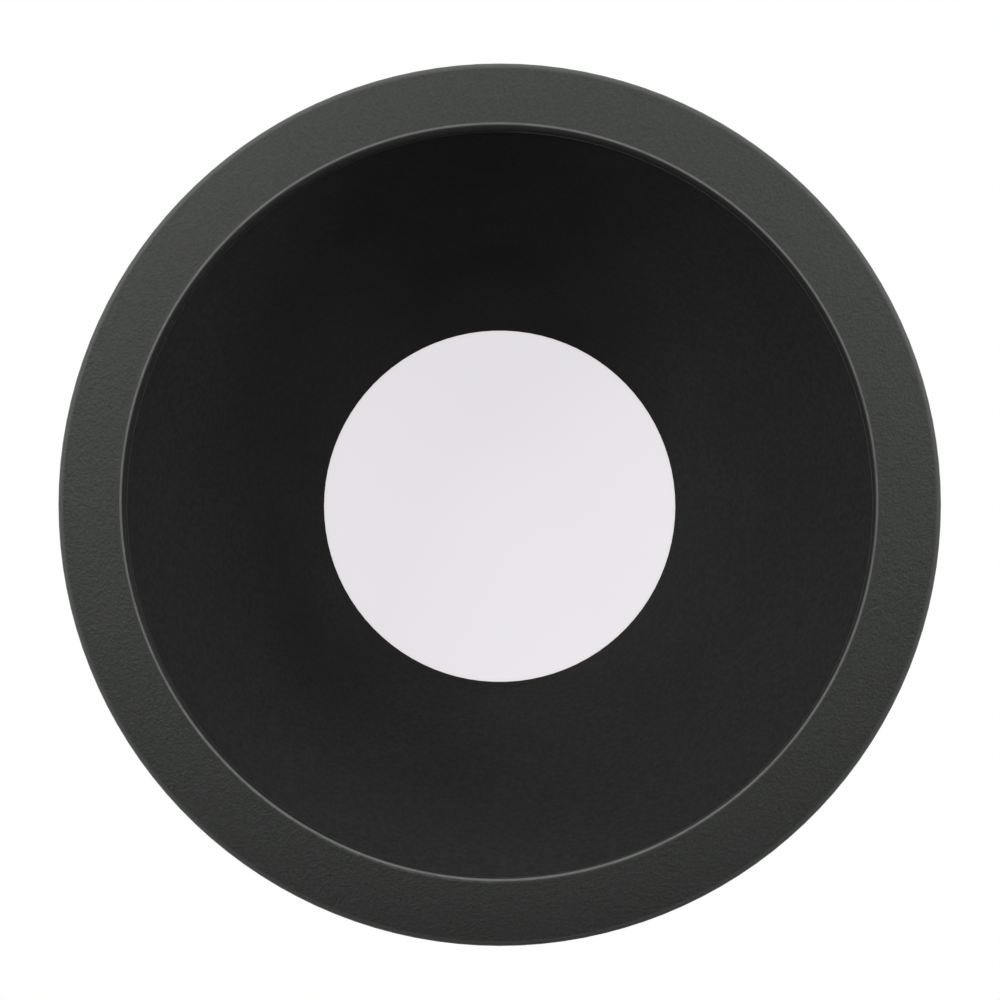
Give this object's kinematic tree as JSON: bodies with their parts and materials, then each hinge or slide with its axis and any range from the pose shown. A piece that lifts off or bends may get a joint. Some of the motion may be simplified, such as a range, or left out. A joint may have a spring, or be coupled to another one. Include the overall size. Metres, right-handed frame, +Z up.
{
  "type": "soffit downlight",
  "caption": "Round recessed soffit downlight: black bevelled trim, deep matt black baffle, opal lens, finned heat sink with driver case, sprung clips.",
  "frame": {"origin": "on the lamp's axis in the plane of the soffit, which is the upper face of the foam gasket behind the flange", "axes": "+Z up into the roof along the lamp's axis, so the lit face looks down along -Z; the clips are at +X and -X; the cable gland points along -Y"},
  "size_m": [0.11, 0.11, 0.0814],
  "materials": {
    "textured_black": "matte",
    "matt_black": "matte",
    "foam": "matte",
    "black_steel": "satin",
    "silicone": "matte",
    "opal": "satin",
    "white_plastic": "satin",
    "white_board": "satin",
    "phosphor": "satin",
    "thermal_pad": "matte",
    "cast_aluminium": "satin",
    "black_rubber": "matte",
    "lead_sleeve": "satin",
    "dark_plastic": "satin",
    "black_plastic": "satin",
    "green_board": "satin",
    "ferrite": "matte",
    "can_sleeve": "satin",
    "zinc_steel": "satin",
    "spring_steel": "satin"
  },
  "bodies": {
    "housing": {"trim_ring": "textured_black", "soffit_gasket": "foam", "baffle_cone": "matt_black", "trim_screws": "black_steel", "lens_seal": "silicone", "lens": "opal", "light_chamber": "white_plastic", "led_board": "white_board", "led_chips": "phosphor", "board_screws": "zinc_steel", "thermal_pad": "thermal_pad", "heat_sink": "cast_aluminium", "wire_grommet": "black_rubber", "led_leads": "lead_sleeve", "driver_case": "dark_plastic", "case_screws": "zinc_steel", "driver_board": "green_board", "transformer": "ferrite", "capacitors": "can_sleeve", "inductor": "ferrite", "driver_chips": "black_plastic", "mains_terminal": "white_plastic", "cover_seal": "black_rubber", "driver_cover": "dark_plastic", "cover_screws": "black_steel", "gland_body": "black_plastic", "gland_seal": "black_rubber", "gland_nut": "black_plastic", "clip_bracket_right": "zinc_steel", "bracket_screws_right": "zinc_steel", "clip_pin_right": "zinc_steel", "clip_spring_right": "spring_steel", "clip_bracket_left": "zinc_steel", "bracket_screws_left": "zinc_steel", "clip_pin_left": "zinc_steel", "clip_spring_left": "spring_steel"},
    "clip_right": {"clip_arm_right": "zinc_steel", "clip_foot_right": "black_rubber"},
    "clip_left": {"clip_arm_left": "zinc_steel", "clip_foot_left": "black_rubber"}
  },
  "joints": [
    {"name": "clip_hinge_right", "type": "hinge", "parent": "housing", "child": "clip_right", "pos_m": [0.04107, 0, 0.0225], "axis": [0, -1, 0], "range_deg": [0, 138], "stiffness_Nm_per_rad": 0.03, "springref_deg": -34.38, "deforming": ["clip_spring_right"]},
    {"name": "clip_hinge_left", "type": "hinge", "parent": "housing", "child": "clip_left", "pos_m": [-0.04107, 0, 0.0225], "axis": [0, 1, 0], "range_deg": [0, 138], "stiffness_Nm_per_rad": 0.03, "springref_deg": -34.38, "deforming": ["clip_spring_left"]}
  ]
}
